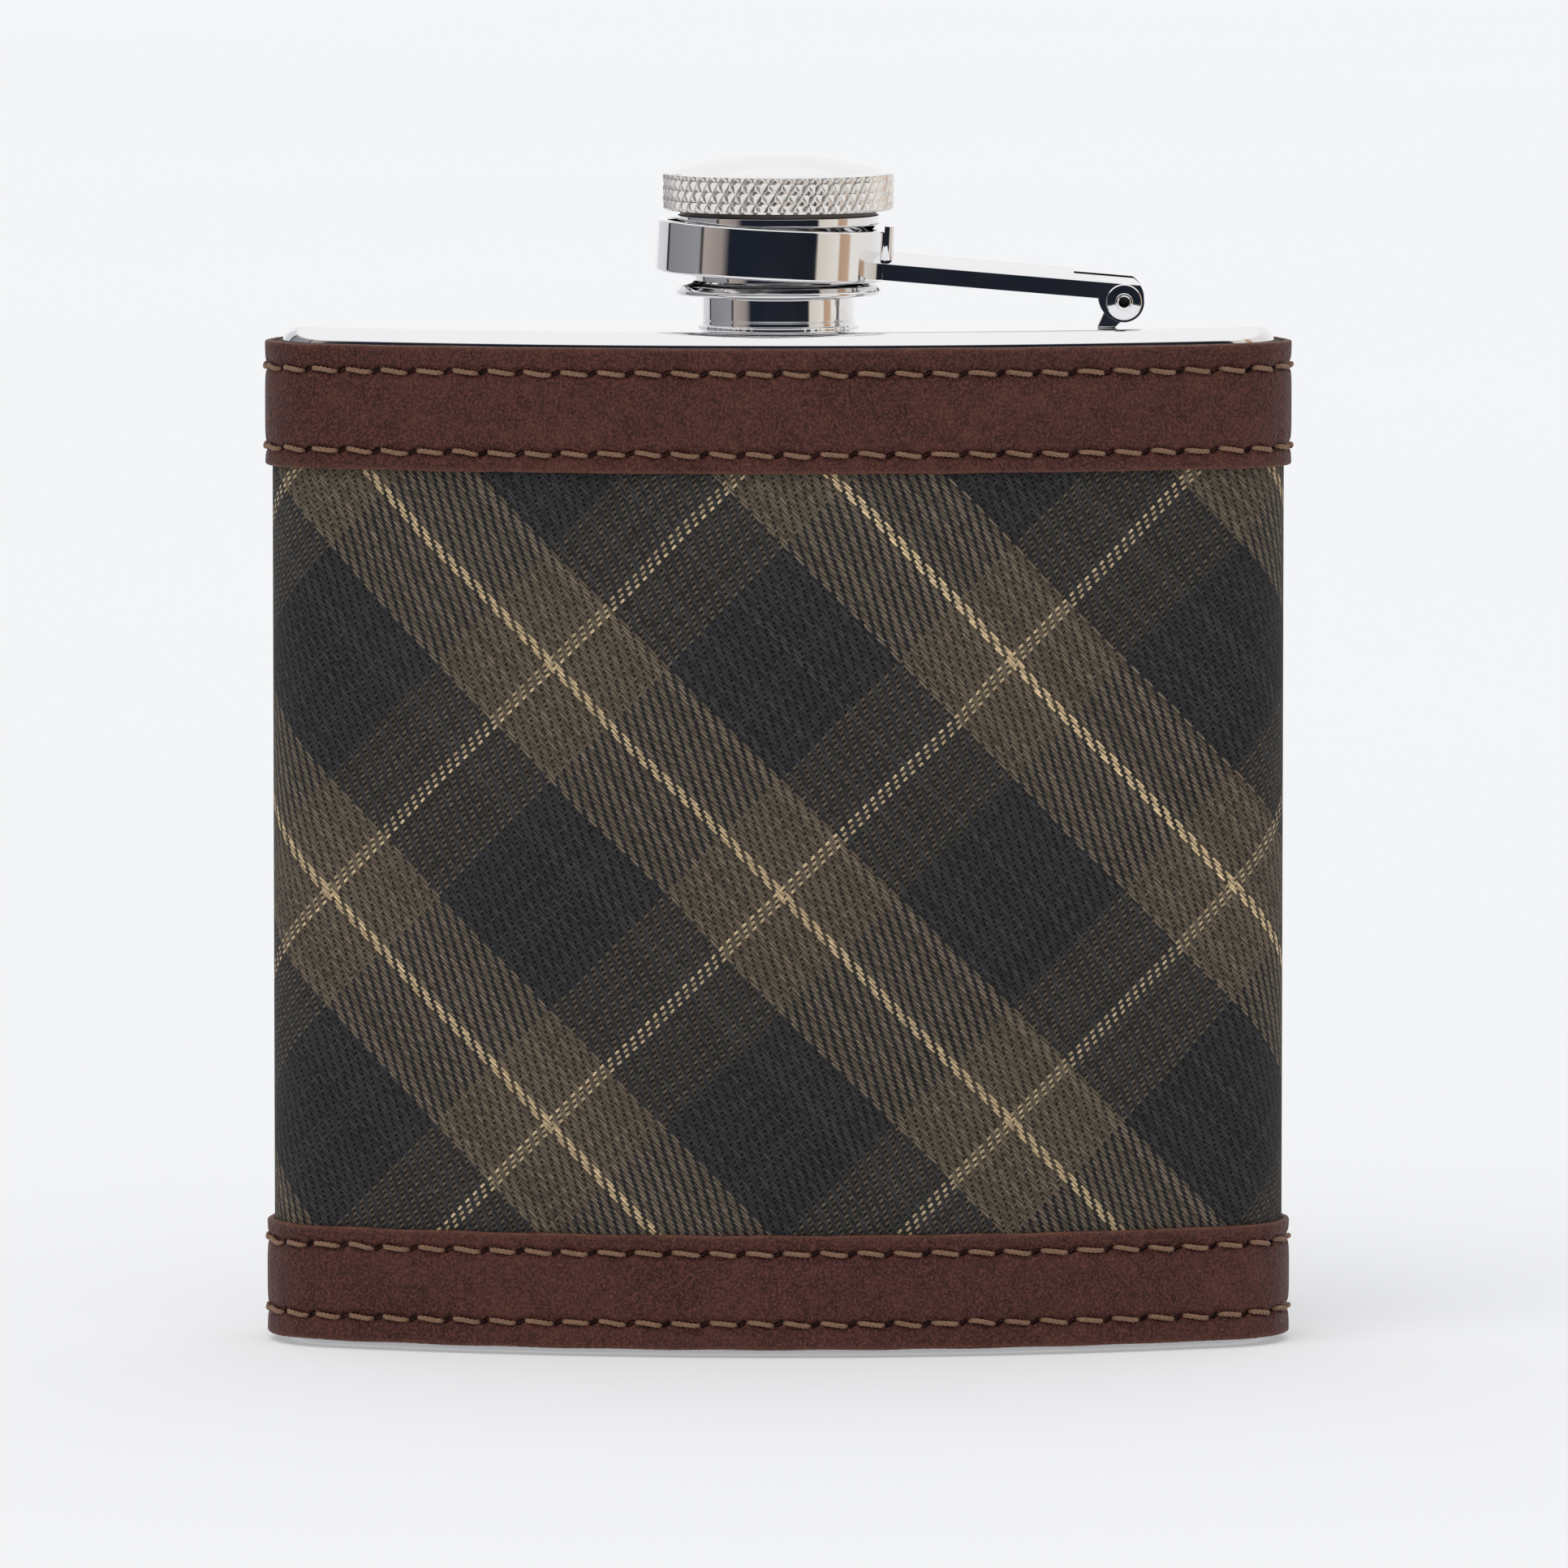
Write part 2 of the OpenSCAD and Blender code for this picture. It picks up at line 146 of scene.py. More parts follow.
def add_mesh(name, points, faces, material, sharp=35, weld=False, uv=None, marks=()):
    """A smooth-shaded object from points in millimetres. uv has one place for each point."""
    mesh = bpy.data.meshes.new(name)
    mesh.from_pydata((np.asarray(points) * MM).tolist(), [], [list(f) for f in np.asarray(faces).tolist()]
                     if isinstance(faces, np.ndarray) else faces)
    if uv is not None:
        corner = np.zeros(len(mesh.loops), np.int32)
        mesh.loops.foreach_get("vertex_index", corner)
        mesh.uv_layers.new(name="cut").data.foreach_set("uv", np.asarray(uv, np.float32)[corner].ravel())
    for mark, values in marks:
        mesh.attributes.new(mark, "FLOAT", "POINT").data.foreach_set("value", np.asarray(values, np.float32))
    work = bmesh.new()
    work.from_mesh(mesh)
    if weld:
        bmesh.ops.remove_doubles(work, verts=work.verts, dist=1e-7)
    bmesh.ops.recalc_face_normals(work, faces=work.faces)
    work.to_mesh(mesh)
    work.free()
    mesh.shade_smooth()
    mesh.set_sharp_from_angle(angle=math.radians(sharp))
    mesh.materials.append(material)
    piece = bpy.data.objects.new(name, mesh)
    bpy.context.scene.collection.objects.link(piece)
    return piece


def place(piece, body, slot, *nodes):
    """The piece rides on a body and stands for CAD nodes, which are hidden. slot is not used."""
    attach(piece, body)
    if nodes:
        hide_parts(*nodes)
    return piece


def soften(corners, radius, steps=5, pad=0.03):
    """A closed outline with rounded corners. radius is one value or one for each corner."""
    corners = np.asarray(corners, float)
    radii = np.broadcast_to(np.asarray(radius, float), len(corners))
    outline = []
    for k, corner in enumerate(corners):
        if radii[k] <= 0:
            outline.append(corner)
            continue
        back, on = corners[k - 1] - corner, corners[(k + 1) % len(corners)] - corner
        back_len, on_len = np.linalg.norm(back), np.linalg.norm(on)
        back, on = back / back_len, on / on_len
        half = math.acos(np.clip(back @ on, -1, 1)) / 2
        cut = min(radii[k] / math.tan(half), 0.4 * back_len, 0.4 * on_len)
        r = cut * math.tan(half)
        middle = corner + (back + on) / np.linalg.norm(back + on) * r / math.sin(half)
        first, last = corner + back * cut - middle, corner + on * cut - middle
        sweep = math.pi - 2 * half
        outline.append(corner + back * (cut + pad))
        for t in np.linspace(0, 1, steps):
            outline.append(
                middle + (math.sin((1 - t) * sweep) * first + math.sin(t * sweep) * last) / math.sin(sweep))
        outline.append(corner + on * (cut + pad))
    return np.array(outline)


def revolve(name, outline, material, steps=160, relief=None, **options):
    """A closed outline of (radius, height) turned round the Z axis. relief(turn, height) is added
    to the radius of points."""
    turn = np.arange(steps) * 2 * math.pi / steps
    r = np.repeat(outline[:, :1], steps, 1)
    z = np.repeat(outline[:, 1:], steps, 1)
    if relief is not None:
        r = r + relief(turn[None, :], z, r)
    points = np.stack([r * np.cos(turn), r * np.sin(turn), z], -1).reshape(-1, 3)
    return add_mesh(name, points, grid_quads(len(outline), steps, True, True), material, weld=True, **options)


def shift(piece, place_mm, rotation=Matrix.Identity(4)):
    piece.data.transform(Matrix.Translation(Vector(place_mm) * MM) @ rotation)
    return piece


def smooth_step(x, low, high):
    t = np.clip((x - low) / (high - low), 0, 1)
    return t * t * (3 - 2 * t)


# ---- Materials ----------------------------------------------------------------------------

class Shader:
    """A material's node tree, with short calls for the nodes used here."""

    def __init__(self, name):
        self.material = bpy.data.materials.new(name)
        self.material.use_nodes = True
        self.tree = self.material.node_tree
        self.tree.nodes.clear()

    def feed(self, socket, value):
        if isinstance(value, bpy.types.NodeSocket):
            self.tree.links.new(value, socket)
        else:
            socket.default_value = value

    def node(self, kind, inputs=(), output=0, **settings):
        made = self.tree.nodes.new("ShaderNode" + kind)
        for key, value in settings.items():
            setattr(made, key, value)
        for key, value in dict(inputs).items():
            self.feed(made.inputs[key], value)
        return made.outputs[output]

    def math(self, operation, *values, clamp=False):
        return self.node("Math", enumerate(values), operation=operation, use_clamp=clamp)

    def mix(self, factor, a, b, blend="MIX"):
        return self.node("Mix", {0: factor, 6: a, 7: b}, 2, data_type="RGBA", blend_type=blend)

    def ramp(self, factor, stops, interpolation="LINEAR"):
        made = self.tree.nodes.new("ShaderNodeValToRGB")
        band = made.color_ramp
        band.interpolation = interpolation
        for k, (at, tone) in enumerate(stops):
            stop = band.elements[k] if k < 2 else band.elements.new(at)
            stop.position, stop.color = at, tone
        self.feed(made.inputs[0], factor)
        return made.outputs[0]

    def noise(self, vector, scale, detail=2, roughness=0.5):
        return self.node("TexNoise", {
            "Vector": vector, "Scale": scale, "Detail": detail, "Roughness": roughness})

    def bump(self, height, distance, strength=1.0, normal=None):
        inputs = {"Height": height, "Distance": distance, "Strength": strength}
        if normal is not None:
            inputs["Normal"] = normal
        return self.node("Bump", inputs)

    def finish(self, **inputs):
        surface = self.node("BsdfPrincipled", {key.replace("_", " "): v for key, v in inputs.items()})
        self.tree.links.new(surface, self.tree.nodes.new("ShaderNodeOutputMaterial").inputs["Surface"])
        return self.material


def srgb(red, green, blue):
    """Linear colour from 8-bit display values."""
    tones = [c / 255 for c in (red, green, blue)]
    return [*(c / 12.92 if c <= 0.04045 else ((c + 0.055) / 1.055) ** 2.4 for c in tones), 1.0]


def steel(name, tone, roughness, scratch=0.0):
    """Polished or satin steel with faint hairlines and smears."""
    shader = Shader(name)
    place_at = shader.node("TexCoord", output=3)
    smear = shader.noise(place_at, 260.0, 3)
    rough = shader.node("MapRange", {0: smear, 1: 0.35, 2: 0.7, 3: roughness, 4: roughness * 1.6 + 0.01})
    inputs = {"Base_Color": (*tone, 1.0), "Metallic": 1.0, "Roughness": rough}
    if scratch:
        inputs["Normal"] = shader.bump(shader.noise(place_at, 900.0, 4, 0.6), scratch * MM, 0.35)
    return shader.finish(**inputs)


def thread_material(name, tone):
    """Twisted sewing thread: fibres run along the strand."""
    shader = Shader(name)
    place_at = shader.node("TexCoord", output=3)
    fibre = shader.noise(place_at, 5200.0, 3, 0.7)
    blotch = shader.noise(place_at, 420.0, 2)
    tint = shader.mix(shader.math("MULTIPLY", blotch, 0.5), tone, [0.45 * c for c in tone[:3]] + [1.0])
    shade = shader.node("MapRange", {0: fibre, 1: 0.3, 2: 0.7, 3: 0.55, 4: 1.35})
    colour = shader.mix(1.0, tint, shader.node("CombineColor", {0: shade, 1: shade, 2: shade}), "MULTIPLY")
    return shader.finish(Base_Color=colour, Roughness=0.75, Sheen_Weight=0.2, Sheen_Roughness=0.4,
                         Normal=shader.bump(fibre, 0.05 * MM, 0.8))


def leather_material(name, tone, worn):
    """Waxed leather: fine creased grain, mottled tone, pale worn edges, and painted shade along the creases
    and in the stitch holes.
    """
    shader = Shader(name)
    place_at = shader.node("TexCoord", output=3)
    stretch = shader.node("VectorMath", {0: place_at, 1: (1.0, 1.0, 0.72)}, operation="MULTIPLY")
    wander = shader.node("TexNoise", {"Vector": stretch, "Scale": 500.0, "Detail": 2.0}, 1)
    bent = shader.node("VectorMath", {0: wander, 1: (0.0009,) * 3, 2: stretch}, operation="MULTIPLY_ADD")
    crease = shader.node("TexVoronoi", {"Vector": bent, "Scale": 2600.0}, feature="DISTANCE_TO_EDGE")
    coarse = shader.node("TexVoronoi", {"Vector": bent, "Scale": 900.0}, feature="DISTANCE_TO_EDGE")
    pores = shader.noise(place_at, 4200.0, 3, 0.65)
    cell = shader.node("MapRange", {0: crease, 1: 0.0, 2: 0.3, 3: 0.0, 4: 1.0})
    fold = shader.node("MapRange", {0: coarse, 1: 0.0, 2: 0.2, 3: 0.0, 4: 1.0})
    grain = shader.math("ADD", shader.math("MULTIPLY", cell, 0.6), shader.math("MULTIPLY", fold, 0.25))
    grain = shader.math("ADD", grain, shader.math("MULTIPLY", pores, 0.5))
    mottle = shader.noise(place_at, 130.0, 4, 0.6)
    speck = shader.noise(place_at, 640.0, 3, 0.6)
    dark = [0.4 * c for c in tone[:3]] + [1.0]
    colour = shader.mix(shader.node("MapRange", {0: mottle, 1: 0.4, 2: 0.62, 3: 0.0, 4: 0.75}), tone, dark)
    colour = shader.mix(shader.node("MapRange", {0: speck, 1: 0.42, 2: 0.64, 3: 0.0, 4: 0.75}), colour, dark)
    # Painted shade: the colour darkens along the creases of the grain.
    colour = shader.mix(shader.node("MapRange", {0: cell, 1: 0.0, 2: 0.8, 3: 0.35, 4: 0.0}), colour, dark)
    pale = [2.1 * c for c in tone[:3]] + [1.0]
    colour = shader.mix(shader.node("MapRange", {0: pores, 1: 0.42, 2: 0.68, 3: 0.0, 4: 0.9}), colour, pale)
    edge = shader.node("Attribute", output=2, attribute_name="edge")
    frayed = shader.math("MULTIPLY", edge, shader.node(
        "MapRange", {0: speck, 1: 0.35, 2: 0.6, 3: 0.35, 4: 1.0}))
    colour = shader.mix(frayed, colour, worn)
    # Painted shade: the stitch slits marked by hole are painted near black, for the shade inside them.
    hole = shader.node("Attribute", output=2, attribute_name="hole")
    colour = shader.mix(hole, colour, (0.004, 0.003, 0.003, 1.0))
    rough = shader.node("MapRange", {0: grain, 1: 0.2, 2: 1.1, 3: 0.62, 4: 0.46})
    rough = shader.math("MAXIMUM", rough, hole)
    return shader.finish(Base_Color=colour, Roughness=rough, Specular_IOR_Level=0.22,
                         Normal=shader.bump(grain, 0.16 * MM, 0.9))


# Checked cloth: a 2/2 twill cut on the bias, in a plain check of two tones with one fine line.
# Counts of threads run from the middle of a pale block (0) to the middle of a dark one, where the
# order mirrors.
WARP_PITCH, WARP_REPEAT = 0.245, 62
WEFT_PITCH, WEFT_REPEAT = 0.441, 34
WARP_RUN, WEFT_RUN = (math.sqrt(0.5), math.sqrt(0.5)), (math.sqrt(0.5), -math.sqrt(0.5))
TAUPE = (srgb(92, 82, 70), srgb(80, 72, 62))
CHARCOAL = (srgb(50, 49, 50), srgb(46, 46, 48))
TAN = (srgb(182, 160, 126), srgb(172, 152, 122))
WARP_BANDS = ((0, TAN), (2, TAUPE), (31, CHARCOAL))
WEFT_BANDS = ((0, TAN), (1.5, TAUPE), (17.5, CHARCOAL))


def checked_material(name):
    shader = Shader(name)
    math_ = shader.math
    cut = shader.node("UVMap", uv_map="cut")
    for scale, sway in ((0.05, 1.2), (0.6, 0.16)):
        drift = shader.node("TexNoise", {"Vector": cut, "Scale": scale, "Detail": 2.0}, 1)
        drift = shader.node("VectorMath", {0: drift, 1: (0.5, 0.5, 0.5)}, operation="SUBTRACT")
        cut = shader.node("VectorMath", {0: drift, 1: (sway, sway, 0.0), 2: cut}, operation="MULTIPLY_ADD")
    across = shader.node("SeparateXYZ", {0: cut}, 0)
    upright = shader.node("SeparateXYZ", {0: cut}, 1)

    def count(run, pitch, half):
        """Threads passed since the middle of a pale block."""
        along = math_("ADD", math_("MULTIPLY", across, run[0]), math_("MULTIPLY", upright, run[1]))
        return math_("MULTIPLY_ADD", along, 1 / pitch, half)

    def dyed(number, half, repeat, bands, kind):
        """Colour of a thread from its number."""
        fold = math_("PINGPONG", math_("ABSOLUTE", math_("ADD", number, half)), float(repeat))
        stops = [(first / repeat, tones[kind]) for first, tones in bands]
        colour = shader.ramp(math_("DIVIDE", fold, float(repeat)), stops, "CONSTANT")
        one = shader.node("TexWhiteNoise", {"W": number}, noise_dimensions="1D")
        shade = shader.node("MapRange", {0: one, 3: 0.7, 4: 1.3})
        return shader.mix(1.0, colour, shader.node("CombineColor", {0: shade, 1: shade, 2: shade}),
                          "MULTIPLY")

    warp_at = count(WARP_RUN, WARP_PITCH, 0.0)
    weft_at = count(WEFT_RUN, WEFT_PITCH, 0.5)
    warp_no, weft_no = math_("FLOOR", warp_at), math_("FLOOR", weft_at)

    def crown(at, number, width):
        """Round height across a thread, 0 at its sides and 1 along its middle."""
        off = math_("MULTIPLY_ADD", math_("SUBTRACT", at, number), 2.0 / width, -1.0 / width)
        return math_("SQRT", math_("MAXIMUM", math_("SUBTRACT", 1.0, math_("MULTIPLY", off, off)), 0.0))

    def reed(at):
        """Gap that the reed leaves between one pair of warp threads and the next, 0 to 1."""
        off = math_("PINGPONG", at, 1.0)
        return shader.node("MapRange", {0: off, 1: 0.0, 2: 0.34, 3: 1.0, 4: 0.0})

    def float_at(phase, lead, low, high):
        """1 where a thread of the twill, over two and under two, floats on top and 0 where it dives."""
        wave = math_("COSINE", math_("MULTIPLY", math_("ADD", phase, lead), math.pi / 2))
        return shader.node("MapRange", {0: wave, 1: low, 2: high}, interpolation_type="SMOOTHSTEP")

    warp_up = float_at(math_("ADD", warp_no, weft_at), 1.0, -0.75, 0.0)
    weft_up = float_at(math_("ADD", warp_at, weft_no), -1.0, -0.4, 0.4)
    warp_top = math_("MULTIPLY_ADD", crown(warp_at, warp_no, 0.9), 0.45, -0.35)
    warp_top = math_("MULTIPLY_ADD", warp_up, 0.85, warp_top)
    warp_top = math_("MULTIPLY_ADD", reed(warp_at), -0.45, warp_top)
    weft_top = math_("MULTIPLY_ADD", crown(weft_at, weft_no, 0.68), 0.85, -0.6)
    weft_top = math_("MULTIPLY_ADD", weft_up, 0.55, weft_top)
    over = shader.node("MapRange", {0: math_("SUBTRACT", weft_top, warp_top), 1: -0.06, 2: 0.06})
    height = math_("MAXIMUM", warp_top, weft_top)

    fibres = shader.node("CombineXYZ", {
        0: math_("MULTIPLY", warp_at, 3.0), 1: math_("MULTIPLY", weft_at, 0.5)})
    warp_fibre = shader.noise(fibres, 1.0, 3, 0.6)
    fibres = shader.node("CombineXYZ", {
        0: math_("MULTIPLY", warp_at, 0.5), 1: math_("MULTIPLY", weft_at, 4.0)})
    weft_fibre = shader.noise(fibres, 1.0, 3, 0.6)
    fibre = shader.node("Mix", {0: over, 2: warp_fibre, 3: weft_fibre}, data_type="FLOAT")

    colour = shader.mix(over, dyed(warp_no, 0.5, WARP_REPEAT, WARP_BANDS, 0),
                        dyed(weft_no, 0.0, WEFT_REPEAT, WEFT_BANDS, 1))
    # Painted shade and highlight: the colour darkens where the weave lies low (between threads, in the reed
    # gaps and where a thread dives) and brightens on the thread crowns. Fibre noise then varies the tone
    # along each thread.
    deep = shader.node("MapRange", {0: height, 1: -0.1, 2: 0.9, 3: 0.02, 4: 1.25})
    deep = math_("MULTIPLY", deep, shader.node("MapRange", {0: fibre, 1: 0.32, 2: 0.68, 3: 0.35, 4: 1.65}))
    colour = shader.mix(1.0, colour, shader.node("CombineColor", {0: deep, 1: deep, 2: deep}), "MULTIPLY")
    relief = math_("ADD", height, math_("MULTIPLY", fibre, 0.35))
    return shader.finish(Base_Color=colour, Roughness=0.85, Specular_IOR_Level=0.15, Sheen_Weight=0.03,
                         Sheen_Roughness=0.5, Normal=shader.bump(relief, 0.11 * MM, 0.8))


polished = steel("polished steel", (0.86, 0.86, 0.87), 0.035, 0.004)
satin = steel("satin steel", (0.6, 0.6, 0.61), 0.28, 0.01)
# Dark steel painted in as shade: it fills the rivet's bores and the groove under the grip.
shade_steel = steel("steel painted dark for shade", (0.16, 0.14, 0.13), 0.45, 0.01)
knurled = steel("knurled steel", (0.86, 0.83, 0.8), 0.2, 0.006)
leather = leather_material("brown leather", srgb(75, 42, 36), srgb(108, 72, 58))
checked = checked_material("checked twill")
sewing = thread_material("sewing thread", srgb(142, 108, 84))

rubber = Shader("silicone")
rubber = rubber.finish(Base_Color=rubber.mix(rubber.noise(rubber.node("TexCoord", output=3), 300.0),
                       (0.7, 0.7, 0.67, 1.0), (0.8, 0.8, 0.78, 1.0)), Roughness=0.55)
felt = Shader("lining felt")
felt = felt.finish(Base_Color=felt.mix(felt.noise(felt.node("TexCoord", output=3), 1500.0),
                   (0.05, 0.04, 0.035, 1.0), (0.12, 0.1, 0.09, 1.0)), Roughness=0.95)

for node, material in (("body_shell", satin), ("cap_seal", rubber), ("wrap_lining", felt)):
    mesh = frame["nodes"][node].data
    mesh.materials.clear()
    mesh.materials.append(material)
    mesh.shade_smooth()
    mesh.set_sharp_from_angle(angle=math.radians(35))

# ---- Steel body ---------------------------------------------------------------------------

shoulder_low, shoulder_high = box_mm("top_plate")
neck_low, neck_high = box_mm("neck_tube")
NECK_Y = (neck_low[1] + neck_high[1]) / 2
SHOULDER_Z = shoulder_high[2]
PLATE_T = SHOULDER_Z - shoulder_low[2]
EDGE_W, EDGE_H = 1.5, 1.3
CAP_PLACE = (0, NECK_Y, SHOULDER_Z)


def plate(name, node, hole_r, upside_down=False):
    """A steel plate on the body's plan with a rounded outer rim and, in the middle, a hole."""
    s = np.linspace(-HALF_RIM, HALF_RIM, 481)[:-1]
    turns = np.linspace(0, math.pi / 2, 14)
    side = [(STEEL_INSET, 0), (STEEL_INSET, PLATE_T - EDGE_H)]
    side += [(STEEL_INSET + EDGE_W * (0.8 - 0.8 * math.cos(a) + 0.2 * math.sin(a)),
              PLATE_T - EDGE_H * (1 - math.sin(a))) for a in turns[1:]]
    side.append((STEEL_INSET + EDGE_W + 0.05, PLATE_T))
    rows = []
    for inset, z in side:
        point, _ = rim(s, inset)
        rows.append(np.column_stack([point, np.full(len(s), z)]))
    if hole_r:
        turn = np.arctan2(rows[0][:, 1] - NECK_Y, rows[0][:, 0])
        ring = np.column_stack([hole_r * np.cos(turn), NECK_Y + hole_r * np.sin(turn), np.zeros(len(s))])
        rows = [ring] + rows + [ring + [0, 0, PLATE_T]]
    points = np.concatenate(rows)
    faces = grid_quads(len(rows), len(s), bool(hole_r), True)
    if not hole_r:
        last = (len(rows) - 1) * len(s)
        faces = faces.tolist() + [list(range(len(s)))[::-1], list(range(last, last + len(s)))]
    if upside_down:
        points = points * [1, 1, -1] + [0, 0, PLATE_T]
    else:
        points = points + [0, 0, SHOULDER_Z - PLATE_T]
    return place(add_mesh(name, points, faces, polished), "flask",
                 "body_steel" if upside_down else "polished_steel", node)


plate("shoulder", "top_plate", 6.42)
plate("base", "bottom_plate", 0, True)

MOUTH_R, FOOT_R, FOOT_H, CREST_R, THREAD_DEPTH, THREAD_PITCH = 5.2, 7.1, 2.95, 6.4, 0.4, 1.25
neck_h = neck_high[2] - SHOULDER_Z
root_r = CREST_R - THREAD_DEPTH
thread_low, thread_high = FOOT_H + 0.3, neck_h - 0.7


def helix(turn, z, first, last):
    """Share of a screw ridge's height at a place, with run-outs at both ends."""
    off = np.abs(np.mod((z - first) / THREAD_PITCH - turn / (2 * math.pi), 1) - 0.5)
    ends = smooth_step(z, first - 0.1, first + 0.4) * (1 - smooth_step(z, last - 0.4, last + 0.1))
    return np.clip((0.42 - off) / 0.26, 0, 1) * ends


def neck_relief(turn, z, r):
    return THREAD_DEPTH * helix(turn, z, thread_low, thread_high) * (np.abs(r - root_r) < 0.01)


neck = np.concatenate([
    soften([(MOUTH_R, -PLATE_T), (CREST_R, -PLATE_T), (CREST_R, 0.01), (FOOT_R, 0.01), (FOOT_R, 0.62),
            (FOOT_R - 0.12, 0.7), (FOOT_R, 0.78), (FOOT_R, FOOT_H), (root_r, FOOT_H + 0.02)],
           [0, 0, 0, 0, 0.04, 0.03, 0.04, 0.22, 0], 4, 0.02),
    [(root_r, z) for z in np.arange(thread_low - 0.15, thread_high + 0.2, 0.07)],
    soften([(root_r, neck_h), (MOUTH_R, neck_h)], [0, 0]),
])
place(shift(revolve("neck", neck, polished, 192, neck_relief), CAP_PLACE),
      "flask", "polished_steel", "neck_tube")

BEAD_R = 0.3
bead = [(FOOT_R - 0.05, 0.005), (FOOT_R + BEAD_R, 0.005)]
bead += [(FOOT_R + BEAD_R * math.cos(a), 0.02 + 0.3 * math.sin(a)) for a in np.linspace(0.1, 1.5, 8)]
bead += [(FOOT_R - 0.05, 0.32)]


def bead_relief(turn, z, r):
    """Slight ripple along the weld."""
    return 0.03 * np.sin(turn * 61) * np.sin(turn * 7) * (r > FOOT_R)


place(shift(revolve("weld_bead", np.array(bead), polished, 256, bead_relief), CAP_PLACE), "flask",
      "polished_steel", "neck_weld")

# ---- Hinge --------------------------------------------------------------------------------

PIN_PLACE = joint_mm("arm_swing")
pin_low, pin_high = box_mm("hinge_pin")
pin_half = (pin_high[1] - pin_low[1]) / 2
PIN_R, PIN_BORE_R, BORE_DEPTH, HEAD_R, HEAD_T = 0.8, 0.5, 1.4, 1.7, 0.3
head_in = pin_half - HEAD_T
half_pin = [(0, pin_half - BORE_DEPTH), (PIN_BORE_R - 0.1, pin_half - BORE_DEPTH + 0.05),
            (PIN_BORE_R, pin_half - BORE_DEPTH + 0.2), (PIN_BORE_R, pin_half - 0.08),
            (PIN_BORE_R + 0.14, pin_half), (PIN_BORE_R + 0.26, pin_half - 0.02),
            (PIN_BORE_R + 0.32, pin_half - 0.07), (HEAD_R - 0.14, pin_half - 0.13), (HEAD_R, head_in + 0.06),
            (PIN_R, head_in)]
pin = np.array(half_pin + [(r, -z) for r, z in half_pin[::-1]])
rivet = revolve("hinge_rivet", soften(pin, [0] + [0.03] * 18 + [0], 3, 0.005), polished, 72)
# Painted shade: the faces inside the rivet's blind bores take the dark steel.
rivet.data.materials.append(shade_steel)
for face in rivet.data.polygons:
    face.material_index = int(math.hypot(face.center.x, face.center.y) < (PIN_BORE_R + 0.01) * MM)
place(shift(rivet, PIN_PLACE, Matrix.Rotation(math.pi / 2, 4, "X")), "flask", "polished_steel", "hinge_pin")


def dressed_copy(name, node, body, slot, material, width):
    """A CAD node's shape with its edges eased, for pieces bent or milled from sheet."""
    mesh = frame["nodes"][node].data.copy()
    mesh.name = name
    work = bmesh.new()
    work.from_mesh(mesh)
    bmesh.ops.remove_doubles(work, verts=work.verts, dist=1e-6)
    bmesh.ops.dissolve_limit(work, angle_limit=math.radians(1.0), verts=work.verts, edges=work.edges)
    creases = [e for e in work.edges if len(e.link_faces) == 2 and e.calc_face_angle() > math.radians(32)]
    bmesh.ops.bevel(work, geom=creases, offset=width * MM, offset_type="OFFSET", segments=3, profile=0.5,
                    affect="EDGES", clamp_overlap=True)
    work.to_mesh(mesh)
    work.free()
    mesh.shade_smooth()
    mesh.set_sharp_from_angle(angle=math.radians(38))
    mesh.materials.clear()
    mesh.materials.append(material)
    piece = bpy.data.objects.new(name, mesh)
    bpy.context.scene.collection.objects.link(piece)
    flat = piece.modifiers.new("flat faces", "WEIGHTED_NORMAL")
    flat.keep_sharp, flat.weight = True, 100
    return place(piece, body, slot, node)


dressed_copy("post", "hinge_post", "flask", "polished_steel", polished, 0.12)
dressed_copy("arm", "cap_arm", "arm", "polished_steel", polished, 0.1)

# ---- Ring ---------------------------------------------------------------------------------

RING_R, RING_H, RING_T, FLANGE_R, FLANGE_T, RING_TILT = 10.68, 4.75, 0.93, 9.2, 0.6, math.radians(3)
ring_low, ring_high = box_mm("cap_ring")
low, high = -RING_H / 2, RING_H / 2
ring = soften([(FLANGE_R, low), (RING_R, low), (RING_R, high), (RING_R - RING_T, high),
               (RING_R - RING_T, low + FLANGE_T), (FLANGE_R, low + FLANGE_T)],
               [0.12, 0.28, 0.2, 0.16, 0, 0.12])
place(shift(revolve("captive_ring", ring, polished, 240), (ring_low + ring_high) / 2,
            Matrix.Rotation(RING_TILT, 4, "Y")), "arm", "polished_steel", "cap_ring")

# ---- Cap ----------------------------------------------------------------------------------

head_low, head_high = box_mm("cap_head")
sleeve_low, sleeve_high = box_mm("cap_sleeve")
GRIP_R = (head_high[0] - head_low[0]) / 2
GRIP_Z, GRIP_H, DOME_H = head_low[2] - SHOULDER_Z, 3.5, 1.7
LIP_R = (sleeve_high[0] - sleeve_low[0]) / 2
LIP_Z = sleeve_low[2] - SHOULDER_Z
CAVITY_R, WAIST_R, STEP_R, SPIGOT_R, SPIGOT_H, CEILING_Z = 7.0, 7.8, 9.34, 8.6, 1.6, 9.05

